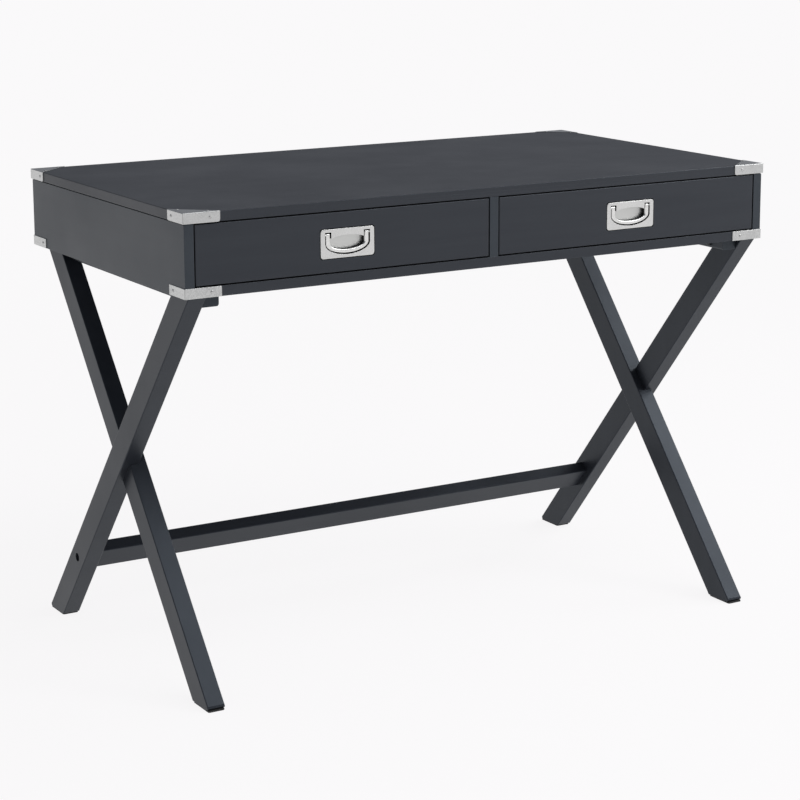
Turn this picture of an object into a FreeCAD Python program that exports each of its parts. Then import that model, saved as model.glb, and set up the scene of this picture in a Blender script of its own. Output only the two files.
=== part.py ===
# Campaign writing desk: a slab and a two-drawer case on a pair of crossed-leg frames.
# Millimetres. The origin is on the floor under the middle of the desk, +Z up, the drawers face -Y.
import FreeCAD
import Part
import os
import re

# Driving dimensions
SIZES = {
    # slab and case
    "slab_width": 1098.0,
    "slab_depth": 610.0,
    "slab_thickness": 16.0,
    "slab_top_height": 785.0,
    "slab_overhang": 1.0,
    "slab_edge_radius": 1.2,
    "case_height": 114.0,
    "board_thickness": 16.0,
    "board_edge_radius": 1.5,
    "shadow_groove_height": 1.6,
    "shadow_groove_depth": 2.0,
    # dowels between the boards
    "dowel_radius": 4.0,
    "dowel_length": 30.0,
    "dowel_seat": 10.0,
    "dowel_spacing": 200.0,
    "back_dowel_spacing": 60.0,
    # crossed legs
    "leg_thickness": 30.0,
    "leg_width": 46.0,
    "leg_edge_radius": 1.5,
    "leg_inset": 7.0,
    "lap_step": 14.0,
    "head_setback": 34.0,
    "foot_setback": 22.0,
    "foot_corner_radius": 4.0,
    "glide_thickness": 2.5,
    "glide_inset": 1.0,
    "glide_setback": 2.5,
    "glide_corner_radius": 3.0,
    # cleats under the case
    "cleat_width": 28.0,
    "cleat_height": 19.0,
    "cleat_setback": 20.0,
    "cleat_edge_radius": 4.0,
    "cleat_screw_spacing": 150.0,
    "cleat_screw_radius": 2.2,
    "cleat_screw_head_radius": 4.2,
    "cleat_screw_head_thickness": 3.0,
    "cleat_screw_length": 28.0,
    # bolts that hold the leg heads to the cleats
    "head_bolt_setback": 36.0,
    "head_bolt_radius": 3.0,
    "head_bolt_head_radius": 5.5,
    "head_bolt_head_thickness": 3.5,
    "head_bolt_length": 38.0,
    # stretcher and its bolts
    "stretcher_width": 48.0,
    "stretcher_thickness": 22.0,
    "stretcher_height": 126.0,
    "stretcher_bolt_radius": 3.0,
    "stretcher_bolt_head_radius": 5.0,
    "stretcher_bolt_head_thickness": 6.0,
    "stretcher_bolt_length": 60.0,
    "stretcher_bolt_socket_radius": 2.5,
    "stretcher_bolt_socket_depth": 3.0,
    "stretcher_bolt_play": 0.2,
    "counterbore_radius": 7.5,
    "counterbore_depth": 10.0,
    # corner guards
    "guard_thickness": 1.2,
    "guard_front_arm": 60.5,
    "guard_side_arm": 54.0,
    "guard_rebate": 0.5,
    "guard_fold_radius": 1.1,
    "guard_edge_radius": 0.5,
    "guard_end_radius": 4.0,
    "guard_low_end_radius": 1.5,
    "guard_front_screw_distance": 44.0,
    "guard_side_screw_distance": 41.0,
    "guard_screw_inset": 9.0,
    "guard_screw_radius": 1.0,
    "guard_screw_head_radius": 2.2,
    "guard_screw_head_rise": 0.5,
    "guard_screw_length": 6.0,
    # drawers
    "drawer_gap": 2.0,
    "drawer_front_thickness": 16.0,
    "drawer_side_thickness": 12.0,
    "drawer_bottom_thickness": 5.0,
    "drawer_bottom_rise": 9.0,
    "drawer_groove_depth": 6.0,
    "drawer_box_height": 74.0,
    "drawer_box_lift": 7.0,
    "drawer_rear_room": 96.0,
    # slides
    "slide_gap": 13.0,
    "slide_end_setback": 28.0,
    "slide_height": 35.0,
    "slide_wall": 1.2,
    "slide_lip": 11.0,
    "slide_running_gap": 0.3,
    "slide_nesting_gap": 1.0,
    "slide_setback": 2.0,
    "slide_screw_setback": 60.0,
    "slide_screw_radius": 1.8,
    "slide_screw_head_radius": 3.5,
    "slide_screw_head_thickness": 1.6,
    "slide_screw_length": 6.5,
    # flush pulls
    "pull_width": 95.0,
    "pull_height": 46.0,
    "pull_drop": 2.0,
    "pull_rise": 0.5,
    "pull_seat_depth": 2.2,
    "pull_seat_gap": 1.3,
    "pull_corner_radius": 5.0,
    "pull_edge_radius": 0.7,
    "pull_body_width": 88.0,
    "pull_body_height": 40.0,
    "pull_body_depth": 11.0,
    "pull_pocket_play": 0.3,
    "pull_channel_depth": 6.0,
    "pull_cup_depth": 10.0,
    "pull_cup_top": 12.6,
    "pull_cup_play": 0.7,
    "pull_screw_radius": 1.8,
    "pull_screw_head_radius": 3.5,
    "pull_screw_head_thickness": 1.8,
    "pull_screw_length": 8.0,
    "pull_screw_spacing": 68.0,
    # swinging bails
    "bail_half_width": 38.0,
    "bail_drop": 16.2,
    "bail_arm_width": 7.4,
    "bail_bar_width": 6.2,
    "bail_thickness": 4.4,
    "bail_edge_radius": 1.8,
    "bail_pivot_rise": 14.0,
    "bail_play": 1.8,
    "bail_recess": 0.3,
    "bail_pin_radius": 1.6,
    "bail_pin_reach": 3.5,
    "bail_pin_play": 0.06,
    # how far a cutting tool runs past the surface that it cuts
    "overrun": 5.0,
}

doc = FreeCAD.newDocument("campaign_desk")
sheet = doc.addObject("Spreadsheet::Sheet", "Sizes")
for row, (alias, value) in enumerate(SIZES.items(), start=1):
    sheet.set("A%d" % row, alias)
    sheet.set("B%d" % row, str(value))
    sheet.setAlias("B%d" % row, alias)
doc.recompute()

ACROSS = FreeCAD.Vector(1, 0, 0)
BACKWARD = FreeCAD.Vector(0, 1, 0)
UPWARD = FreeCAD.Vector(0, 0, 1)

# Levels and faces that several pieces share, each written as a formula of the sheet's names
slab_underside = "(slab_top_height - slab_thickness)"
case_underside = f"({slab_underside} - case_height)"
case_floor = f"({case_underside} + board_thickness)"
slab_side = "(slab_width / 2)"
slab_front = "(slab_depth / 2)"
case_side = f"({slab_side} - slab_overhang)"
case_front = f"({slab_front} - slab_overhang)"
case_inside = f"({case_side} - board_thickness)"
case_back = f"({case_front} - board_thickness)"
divider_side = "(board_thickness / 2)"
guard_seat = "(slab_top_height - guard_rebate)"

parts = {}


def cell(formula):
    """A formula with each size's name turned into a reference to its cell."""
    return re.sub(r"[a-z_]+", lambda word: "Sizes." + word[0] if word[0] in SIZES else word[0], formula)


def bind(obj, **formulas):
    """Ties properties of an object to formulas."""
    for prop, formula in formulas.items():
        obj.setExpression(prop, cell(formula))
    return obj


def put(obj, x="0", y="0", z="0"):
    """Ties an object's position to formulas."""
    for axis, formula in (("x", x), ("y", y), ("z", z)):
        obj.setExpression(".Placement.Base." + axis, cell(formula))
    return obj


def box(name, x, y, z):
    """A box between two formulas along each axis."""
    obj = doc.addObject("Part::Box", name)
    bind(
        obj,
        Length=f"({x[1]}) - ({x[0]})",
        Width=f"({y[1]}) - ({y[0]})",
        Height=f"({z[1]}) - ({z[0]})",
    )
    return put(obj, x[0], y[0], z[0])


def rod(name, radius, length, axis, x="0", y="0", z="0"):
    """A cylinder that starts at a point and runs along an axis vector."""
    obj = doc.addObject("Part::Cylinder", name)
    obj.Placement = FreeCAD.Placement(FreeCAD.Vector(), FreeCAD.Rotation(UPWARD, axis))
    bind(obj, Radius=radius, Height=length)
    return put(obj, x, y, z)


def slanted_bar(name, x, low, high, low_y, high_y, half):
    """A bar leaning front to back: level ends at two heights, centred on two depths, between two x."""
    obj = doc.addObject("Part::Wedge", name)
    turn = FreeCAD.Rotation(ACROSS + BACKWARD + UPWARD, 120)
    obj.Placement = FreeCAD.Placement(FreeCAD.Vector(), turn)
    return bind(
        obj,
        Ymin=low,
        Ymax=high,
        Xmin=f"{low_y} - {half}",
        Xmax=f"{low_y} + {half}",
        X2min=f"{high_y} - {half}",
        X2max=f"{high_y} + {half}",
        Zmin=x[0],
        Z2min=x[0],
        Zmax=x[1],
        Z2max=x[1],
    )


def fuse(name, *pieces):
    """One solid from touching or overlapping pieces."""
    obj = doc.addObject("Part::MultiFuse", name)
    obj.Shapes = list(pieces)
    obj.Refine = True
    return obj


def group(name, *pieces):
    """Separate solids kept side by side."""
    obj = doc.addObject("Part::Compound", name)
    obj.Links = list(pieces)
    return obj


def cut(name, base, *tools):
    """A piece with other shapes taken out of it."""
    obj = doc.addObject("Part::Cut", name)
    obj.Base = base
    obj.Tool = tools[0] if len(tools) == 1 else group(name + "_tools", *tools)
    return obj


def mirror(name, source, normal=ACROSS):
    """The mirror image of a piece in the plane through the origin with this normal."""
    obj = doc.addObject("Part::Mirroring", name)
    obj.Source = source
    obj.Base = FreeCAD.Vector()
    obj.Normal = normal
    return obj


def ease(name, base, *rules):
    """Rounds edges. Each rule is a size's name and a test that picks edges; the first match counts."""
    doc.recompute()
    picked = []
    for number, edge in enumerate(base.Shape.Edges, start=1):
        for size, wanted in rules:
            if wanted(edge):
                picked.append((number, SIZES[size], SIZES[size]))
                break
    obj = doc.addObject("Part::Fillet", name)
    obj.Base = base
    obj.Edges = picked
    return obj


def runs(edge, axis):
    """True if an edge is straight and lies along an axis vector."""
    if edge.Curve.TypeId != "Part::GeomLine":
        return False
    return abs(abs(edge.Curve.Direction.dot(axis)) - 1) < 1e-6


def at_end(edge, shape, side):
    """True if an edge lies in the plane of a shape's lowest or highest x, y or z, such as XMin."""
    axis, end = side[0], side[1:]
    level = getattr(shape.BoundBox, axis + end)
    box_of_edge = edge.BoundBox
    near = shape.BoundBox.DiagonalLength * 1e-6
    low, high = getattr(box_of_edge, axis + "Min"), getattr(box_of_edge, axis + "Max")
    return abs(low - level) < near and abs(high - level) < near


def keep(node, obj):
    """Names a finished piece of the desk."""
    obj.Label = node
    parts[node] = obj
    return obj


def keep_pair(stem, obj):
    """Keeps a finished piece of the left half and its mirror image in the right half."""
    keep("left_" + stem, obj)
    keep("right_" + stem, mirror("right_" + stem, obj))


def both_sides(name, obj):
    """A piece and its mirror image in the other half of the desk."""
    return group(name, obj, mirror(name + "_right", obj))


def all_corners(name, obj):
    """A piece of the front left corner, repeated at the four corners."""
    left = group(name + "_left", obj, mirror(name + "_back", obj, BACKWARD))
    return both_sides(name, left)


def screw(name, head_radius, head_thickness, shank_radius, length, axis, x, y, z):
    """A screw whose head sits on the point given and whose shank runs along the axis vector."""
    shank = rod(name + "_shank", shank_radius, length, axis, x, y, z)
    head = rod(name + "_head", head_radius, head_thickness, -axis, x, y, z)
    return fuse(name, shank, head)


# Corner guard screws: on each top guard one in each strap and two in the triangular plate,
# and on each bottom guard one in each strap
guard_outer_x = f"({slab_side} + guard_thickness)"
guard_outer_y = f"({slab_front} + guard_thickness)"
guard_mid_height = f"({slab_underside} + slab_thickness / 2)"
guard_head = "guard_thickness + guard_screw_head_rise"


def guard_screw(name, axis, x, y, z):
    """A small round-headed screw whose head lies in the guard's plate and stands a little proud."""
    return screw(
        name,
        "guard_screw_head_radius",
        guard_head,
        "guard_screw_radius",
        "guard_screw_length",
        axis,
        x,
        y,
        z,
    )


top_screws = group(
    "top_guard_screws",
    guard_screw(
        "top_front_screw",
        BACKWARD,
        f"guard_front_screw_distance - {slab_side}",
        f"-{slab_front}",
        guard_mid_height,
    ),
    guard_screw(
        "top_side_screw",
        ACROSS,
        f"-{slab_side}",
        f"guard_side_screw_distance - {slab_front}",
        guard_mid_height,
    ),
    guard_screw(
        "top_plate_screw_a",
        -UPWARD,
        f"guard_front_screw_distance - {slab_side}",
        f"guard_screw_inset - {slab_front}",
        guard_seat,
    ),
    guard_screw(
        "top_plate_screw_b",
        -UPWARD,
        f"guard_screw_inset - {slab_side}",
        f"guard_side_screw_distance - {slab_front}",
        guard_seat,
    ),
)
low_screws = group(
    "low_guard_screws",
    guard_screw(
        "low_front_screw",
        BACKWARD,
        f"guard_front_screw_distance - {case_side}",
        f"-{case_front}",
        f"{case_underside} + board_thickness / 2",
    ),
    guard_screw(
        "low_side_screw",
        ACROSS,
        f"-{case_side}",
        f"guard_side_screw_distance - {case_front}",
        f"{case_underside} + board_thickness / 2",
    ),
)
all_top_screws = all_corners("guard_screws_top", top_screws)
all_low_screws = all_corners("guard_screws_bottom", low_screws)
keep("guard_screws_top", all_top_screws)
keep("guard_screws_bottom", all_low_screws)

# Corner guards: a strap along each face of the corner, and on the slab a triangular top plate
guard_top = f"({guard_seat} + guard_thickness)"
top_guard_blank = fuse(
    "top_guard_blank",
    box(
        "top_guard_front",
        (f"-{guard_outer_x}", f"guard_front_arm - {slab_side}"),
        (f"-{guard_outer_y}", f"-{slab_front}"),
        (slab_underside, guard_top),
    ),
    box(
        "top_guard_side",
        (f"-{guard_outer_x}", f"-{slab_side}"),
        (f"-{guard_outer_y}", f"guard_side_arm - {slab_front}"),
        (slab_underside, guard_top),
    ),
    bind(
        doc.addObject("Part::Wedge", "top_guard_plate"),
        Xmin=f"-{guard_outer_x}",
        Xmax=f"guard_front_arm - {slab_side}",
        X2min=f"-{guard_outer_x}",
        X2max=f"-{guard_outer_x}",
        Ymin=f"-{guard_outer_y}",
        Ymax=f"guard_side_arm - {slab_front}",
        Zmin=guard_seat,
        Zmax=guard_top,
        Z2min=guard_seat,
        Z2max=guard_top,
    ),
)


def eased_guard(name, blank, end_radius, end_level, rim_radius):
    """Rounds a guard's strap ends, its upright corner and the top rim of its outer faces."""
    doc.recompute()
    shape = blank.Shape

    def end_corner(edge):
        """An edge through a strap's plate at its free end and its open side."""
        at_free_end = at_end(edge, shape, "XMax") or at_end(edge, shape, "YMax")
        return at_free_end and at_end(edge, shape, end_level)

    def upright_corner(edge):
        """The edge that the two straps share outside."""
        return at_end(edge, shape, "XMin") and at_end(edge, shape, "YMin")

    def rim(edge):
        """A top edge of an outer face."""
        outside = at_end(edge, shape, "XMin") or at_end(edge, shape, "YMin")
        return outside and at_end(edge, shape, "ZMax")

    return ease(
        name,
        blank,
        (end_radius, end_corner),
        ("guard_edge_radius", upright_corner),
        (rim_radius, rim),
    )


top_guard = cut(
    "top_guard",
    eased_guard("top_guard_eased", top_guard_blank, "guard_end_radius", "ZMin", "guard_fold_radius"),
    top_screws,
)
low_guard_blank = fuse(
    "low_guard_blank",
    box(
        "low_guard_front",
        (f"-{case_side} - guard_thickness", f"guard_front_arm - {case_side}"),
        (f"-{case_front} - guard_thickness", f"-{case_front}"),
        (case_underside, case_floor),
    ),
    box(
        "low_guard_side",
        (f"-{case_side} - guard_thickness", f"-{case_side}"),
        (f"-{case_front} - guard_thickness", f"guard_side_arm - {case_front}"),
        (case_underside, case_floor),
    ),
)
low_guard = cut(
    "low_guard",
    eased_guard("low_guard_eased", low_guard_blank, "guard_low_end_radius", "ZMax", "guard_edge_radius"),
    low_screws,
)
for level, guard in (("top", top_guard), ("bottom", low_guard)):
    keep_pair(f"front_guard_{level}", guard)
    keep_pair(f"back_guard_{level}", mirror(f"back_guard_{level}", guard, BACKWARD))

# Dowels between the boards, made for the left half and the middle
dowel_back_y = f"({case_front} - board_thickness / 2)"
dowel_side_x = f"({case_side} - board_thickness / 2)"


def dowel(name, axis, x, y, z):
    """A dowel that starts in the first board and runs along an axis into the second."""
    return rod(name, "dowel_radius", "dowel_length", axis, x, y, z)


dowel_top = f"({slab_underside} + dowel_seat)"
dowel_deep = f"({case_floor} - dowel_seat)"
dowel_rows = [f"{step} * dowel_spacing" for step in (-1, 0, 1)]
side_dowels = []
for number, row_y in enumerate(dowel_rows):
    side_dowels += [
        dowel(f"top_dowel_{number}", -UPWARD, f"-{dowel_side_x}", row_y, dowel_top),
        dowel(
            f"floor_dowel_{number}",
            ACROSS,
            f"-{case_inside} - dowel_seat",
            row_y,
            f"{case_underside} + board_thickness / 2",
        ),
    ]
side_dowels += [
    dowel("back_top_dowel", -UPWARD, "-dowel_spacing", dowel_back_y, dowel_top),
    dowel(
        "back_floor_dowel",
        -BACKWARD,
        "-dowel_spacing",
        f"{case_back} + dowel_seat",
        f"{case_underside} + board_thickness / 2",
    ),
]
for number, sign in enumerate("-+"):
    side_dowels.append(
        dowel(
            f"back_side_dowel_{number}",
            ACROSS,
            f"-{case_inside} - dowel_seat",
            dowel_back_y,
            f"({case_underside} + {slab_underside}) / 2 {sign} back_dowel_spacing / 2",
        )
    )
middle_dowels = []
for number, sign in enumerate(("-", "")):
    middle_dowels += [
        dowel(f"divider_top_dowel_{number}", -UPWARD, "0", f"{sign}dowel_spacing", dowel_top),
        dowel(f"divider_floor_dowel_{number}", UPWARD, "0", f"{sign}dowel_spacing", dowel_deep),
    ]
case_dowels = group(
    "case_dowels",
    both_sides("side_dowels", group("left_dowels", *side_dowels)),
    *middle_dowels,
)
keep("case_dowels", case_dowels)

# Desk top, rebated at its corners for the guards' top plates
slab = box(
    "slab",
    (f"-{slab_side}", slab_side),
    (f"-{slab_front}", slab_front),
    (slab_underside, "slab_top_height"),
)
doc.recompute()
slab_blank = slab.Shape
slab_eased = ease(
    "slab_eased",
    slab,
    ("slab_edge_radius", lambda edge: at_end(edge, slab_blank, "ZMax") or at_end(edge, slab_blank, "ZMin")),
)
guard_rebates = all_corners("guard_rebates", top_guard_blank)
keep("desk_top", cut("desk_top", slab_eased, guard_rebates, all_top_screws, case_dowels))

# Slides: a fixed channel on each side of an opening, and a lighter channel nested in it on the drawer.
# They are made for the left side of the left opening and repeated from there.
opening_left = f"(-{case_inside})"
opening_right = f"(-{divider_side})"
front_back = f"(drawer_front_thickness - {case_front})"
box_back = f"({case_back} - drawer_rear_room)"
slide_start = f"({front_back} + slide_setback)"
slide_end = f"({box_back} - slide_end_setback)"
slide_middle = f"({case_floor} + drawer_box_lift + drawer_box_height / 2)"
slide_half = "(slide_height / 2)"
channel_inner_half = f"({slide_half} - slide_wall)"
bar_half = f"({channel_inner_half} - slide_running_gap)"
drawer_left = f"({opening_left} + slide_gap)"
drawer_right = f"({opening_right} - slide_gap)"
opening_middle = f"(({opening_left} + {opening_right}) / 2)"
slide_holes = (
    f"{slide_start} + slide_screw_setback",
    f"{slide_end} - slide_screw_setback",
)

channel_blank = cut(
    "channel_blank",
    box(
        "channel_outer",
        (opening_left, f"{opening_left} + slide_lip"),
        (slide_start, slide_end),
        (f"{slide_middle} - {slide_half}", f"{slide_middle} + {slide_half}"),
    ),
    box(
        "channel_hollow",
        (f"{opening_left} + slide_wall", f"{opening_left} + slide_lip + overrun"),
        (f"{slide_start} - overrun", f"{slide_end} + overrun"),
        (f"{slide_middle} - {channel_inner_half}", f"{slide_middle} + {channel_inner_half}"),
    ),
)
bar_blank = cut(
    "bar_blank",
    box(
        "bar_outer",
        (f"{opening_left} + slide_wall + slide_nesting_gap", drawer_left),
        (slide_start, slide_end),
        (f"{slide_middle} - {bar_half}", f"{slide_middle} + {bar_half}"),
    ),
    box(
        "bar_hollow",
        (f"{opening_left} + slide_wall + slide_nesting_gap - overrun", f"{drawer_left} - slide_wall"),
        (f"{slide_start} - overrun", f"{slide_end} + overrun"),
        (
            f"{slide_middle} - {bar_half} + slide_wall",
            f"{slide_middle} + {bar_half} - slide_wall",
        ),
    ),
)
channel_screws = group(
    "channel_screws",
    *[
        screw(
            f"channel_screw_{number}",
            "slide_screw_head_radius",
            "slide_screw_head_thickness",
            "slide_screw_radius",
            "slide_screw_length",
            -ACROSS,
            f"{opening_left} + slide_wall",
            place,
            slide_middle,
        )
        for number, place in enumerate(slide_holes)
    ],
)
bar_screws = group(
    "bar_screws",
    *[
        screw(
            f"bar_screw_{number}",
            "slide_screw_head_radius",
            "slide_screw_head_thickness",
            "slide_screw_radius",
            "slide_screw_length",
            ACROSS,
            f"{drawer_left} - slide_wall",
            place,
            slide_middle,
        )
        for number, place in enumerate(slide_holes)
    ],
)


def opening_pair(name, obj):
    """A piece at the left of the left opening, and its mirror image at the right of it."""
    image = mirror(name + "_image", obj)
    moved = group(name + "_moved", image)
    put(moved, x=f"2 * {opening_middle}")
    return group(name, obj, moved)


channels = opening_pair("left_slide_channels", cut("channel", channel_blank, channel_screws))
all_channel_screws = opening_pair("left_channel_screws", channel_screws)
bars = opening_pair("left_slide_bars", cut("bar", bar_blank, bar_screws))
all_bar_screws = opening_pair("left_bar_screws", bar_screws)
keep_pair("slide_channels", channels)
keep_pair("slide_bars", bars)
keep_pair("slide_bar_screws", all_bar_screws)
every_channel_screw = both_sides("slide_channel_screws", all_channel_screws)
keep("slide_channel_screws", every_channel_screw)

# Cleats: the battens under the case that take the leg frames, with their screws and leg bolts
leg_outer_x = f"({case_side} - leg_inset)"
leg_inner_x = f"({leg_outer_x} - leg_thickness)"
cleat_inner_x = f"({leg_inner_x} - cleat_width)"
cleat_end = f"({case_front} - cleat_setback)"
cleat_underside = f"({case_underside} - cleat_height)"
cleat_screws = group(
    "cleat_screws_left",
    *[
        screw(
            f"cleat_screw_{number}",
            "cleat_screw_head_radius",
            "cleat_screw_head_thickness",
            "cleat_screw_radius",
            "cleat_screw_length - cleat_screw_head_thickness",
            UPWARD,
            f"-{cleat_inner_x} - cleat_width / 2",
            f"{step} * cleat_screw_spacing",
            f"{cleat_underside} + cleat_screw_head_thickness",
        )
        for number, step in enumerate((-1, 0, 1))
    ],
)
head_bolts = group(
    "head_bolts_left",
    *[
        screw(
            f"head_bolt_{number}",
            "head_bolt_head_radius",
            "head_bolt_head_thickness",
            "head_bolt_radius",
            "head_bolt_length",
            -ACROSS,
            f"-{cleat_inner_x}",
            f"{sign}({cleat_end} - head_bolt_setback)",
            f"{case_underside} - cleat_height / 2",
        )
        for number, sign in enumerate(("-", ""))
    ],
)
cleat_blank = box(
    "cleat_blank",
    (f"-{leg_inner_x}", f"-{cleat_inner_x}"),
    (f"-{cleat_end}", cleat_end),
    (cleat_underside, case_underside),
)
doc.recompute()
cleat_shape = cleat_blank.Shape


def cleat_corner(edge):
    """The cleat's lower edge on the side away from the legs."""
    return at_end(edge, cleat_shape, "XMax") and at_end(edge, cleat_shape, "ZMin")


cleat_eased = ease("cleat_eased", cleat_blank, ("cleat_edge_radius", cleat_corner))
keep_pair("cleat", cut("cleat", cleat_eased, cleat_screws, head_bolts))
all_cleat_screws = both_sides("cleat_screws", cleat_screws)
keep("cleat_screws", all_cleat_screws)
keep("leg_head_bolts", both_sides("leg_head_bolts", head_bolts))

# Case boards, with a small groove under the slab along the sides and the back
side_blank = box(
    "side_blank",
    (f"-{case_side}", f"-{case_inside}"),
    (f"-{case_front}", case_front),
    (case_underside, slab_underside),
)
groove_height = (f"{slab_underside} - shadow_groove_height", f"{slab_underside} + overrun")
side_groove = box(
    "side_groove",
    (f"-{case_side} - overrun", f"shadow_groove_depth - {case_side}"),
    (f"-{case_front} - overrun", f"{case_front} + overrun"),
    groove_height,
)
back_groove = box(
    "back_groove",
    (f"-{case_side} - overrun", f"{case_side} + overrun"),
    (f"{case_front} - shadow_groove_depth", f"{case_front} + overrun"),
    groove_height,
)
case_fixings = group("case_fixings", every_channel_screw, all_low_screws, case_dowels)
keep_pair("side_panel", cut("side_panel", side_blank, side_groove, back_groove, case_fixings))
keep(
    "bottom_board",
    cut(
        "bottom_board",
        box(
            "bottom_blank",
            (f"-{case_inside}", case_inside),
            (f"-{case_front}", case_back),
            (case_underside, case_floor),
        ),
        all_cleat_screws,
        all_low_screws,
        case_dowels,
    ),
)
keep(
    "back_panel",
    cut(
        "back_panel",
        box(
            "back_blank",
            (f"-{case_inside}", case_inside),
            (case_back, case_front),
            (case_underside, slab_underside),
        ),
        back_groove,
        all_low_screws,
        case_dowels,
    ),
)
keep(
    "centre_divider",
    cut(
        "centre_divider",
        box(
            "divider_blank",
            (f"-{divider_side}", divider_side),
            (f"-{case_front}", case_back),
            (case_floor, slab_underside),
        ),
        every_channel_screw,
        case_dowels,
    ),
)

# Crossed legs: the outer leg runs from the front of the case to the back foot,
# the inner leg from the back of the case to the front foot, lapped where they cross
head_reach = f"({case_front} - head_setback)"
foot_reach = f"({case_front} - foot_setback)"
leg_run = f"({head_reach} + {foot_reach})"
leg_half = f"(leg_width / 2 * sqrt({leg_run} ^ 2 + {case_underside} ^ 2) / {case_underside})"
lap_outer_x = f"({leg_outer_x} - lap_step)"
lap_inner_x = f"({lap_outer_x} - leg_thickness)"
lap_middle_x = f"(({lap_outer_x} + {leg_inner_x}) / 2)"
ankle_y = f"({foot_reach} - {leg_run} * glide_thickness / {case_underside})"
outer_leg_ends = (ankle_y, f"-{head_reach}")
inner_leg_ends = (f"-{ankle_y}", head_reach)


def leg_bar(name, outer_x, inner_x, ends):
    """A straight leg between two x, from its glide to the underside of the case."""
    return slanted_bar(
        name,
        (f"-{outer_x}", f"-{inner_x}"),
        "glide_thickness",
        case_underside,
        ends[0],
        ends[1],
        leg_half,
    )


def eased_leg(name, bar):
    """Rounds a leg's long edges a little and the front and back corners of its foot more."""
    doc.recompute()
    shape = bar.Shape

    def foot_corner(edge):
        """A bottom edge that runs across the desk."""
        return runs(edge, ACROSS) and at_end(edge, shape, "ZMin")

    def long_edge(edge):
        """An edge along the leg."""
        return not runs(edge, ACROSS) and not runs(edge, BACKWARD)

    return ease(name, bar, ("foot_corner_radius", foot_corner), ("leg_edge_radius", long_edge))


stretcher_y = f"({foot_reach} - {leg_run} * stretcher_height / {case_underside})"
bolt_seat_x = f"({leg_outer_x} - counterbore_depth)"
stretcher_bolt = cut(
    "stretcher_bolt",
    screw(
        "stretcher_bolt_blank",
        "stretcher_bolt_head_radius",
        "stretcher_bolt_head_thickness",
        "stretcher_bolt_radius",
        "stretcher_bolt_length",
        ACROSS,
        f"-{bolt_seat_x}",
        stretcher_y,
        "stretcher_height",
    ),
    rod(
        "stretcher_bolt_socket",
        "stretcher_bolt_socket_radius",
        "stretcher_bolt_socket_depth + overrun",
        -ACROSS,
        f"-{bolt_seat_x} - stretcher_bolt_head_thickness + stretcher_bolt_socket_depth",
        stretcher_y,
        "stretcher_height",
    ),
)
outer_leg = cut(
    "outer_leg",
    eased_leg("outer_leg_eased", leg_bar("outer_leg_bar", leg_outer_x, leg_inner_x, outer_leg_ends)),
    leg_bar("outer_lap", lap_middle_x, lap_inner_x, inner_leg_ends),
    rod(
        "bolt_counterbore",
        "counterbore_radius",
        "counterbore_depth + overrun",
        -ACROSS,
        f"-{bolt_seat_x}",
        stretcher_y,
        "stretcher_height",
    ),
    rod(
        "bolt_passage",
        "stretcher_bolt_radius + stretcher_bolt_play",
        "leg_thickness + overrun",
        ACROSS,
        f"-{leg_outer_x}",
        stretcher_y,
        "stretcher_height",
    ),
    head_bolts,
)
inner_leg = cut(
    "inner_leg",
    eased_leg("inner_leg_eased", leg_bar("inner_leg_bar", lap_outer_x, lap_inner_x, inner_leg_ends)),
    leg_bar("inner_lap", leg_outer_x, lap_middle_x, outer_leg_ends),
    cleat_blank,
    head_bolts,
)
keep_pair("outer_leg", outer_leg)
keep_pair("inner_leg", inner_leg)

# Foot glides
glide_half = f"({leg_half} - glide_setback)"


def glide(name, outer_x, inner_x, foot_y):
    """A thin round-cornered pad under a foot."""
    blank = box(
        name + "_blank",
        (f"glide_inset - {outer_x}", f"-{inner_x} - glide_inset"),
        (f"{foot_y} - {glide_half}", f"{foot_y} + {glide_half}"),
        ("0", "glide_thickness"),
    )
    return ease(name, blank, ("glide_corner_radius", lambda edge: runs(edge, UPWARD)))


left_glides = group(
    "left_glides",
    glide("back_glide", leg_outer_x, leg_inner_x, ankle_y),
    glide("front_glide", lap_outer_x, lap_inner_x, f"-{ankle_y}"),
)
keep("foot_glides", both_sides("foot_glides", left_glides))

# Stretcher between the outer legs, its section turned to the slope of the legs it meets
stretcher_blank = box(
    "stretcher_blank",
    (f"-{leg_inner_x}", leg_inner_x),
    ("-stretcher_thickness / 2", "stretcher_thickness / 2"),
    ("-stretcher_width / 2", "stretcher_width / 2"),
)
stretcher_eased = ease(
    "stretcher_eased",
    stretcher_blank,
    ("leg_edge_radius", lambda edge: runs(edge, ACROSS)),
)
stretcher_eased.Placement.Rotation = FreeCAD.Rotation(ACROSS, 1)
bind(stretcher_eased, **{".Placement.Rotation.Angle": f"atan({leg_run} / {case_underside})"})
put(stretcher_eased, y=stretcher_y, z="stretcher_height")
stretcher_bolts = both_sides("stretcher_bolts", stretcher_bolt)
keep("stretcher", cut("stretcher", stretcher_eased, stretcher_bolts))
keep("stretcher_bolts", stretcher_bolts)

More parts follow.
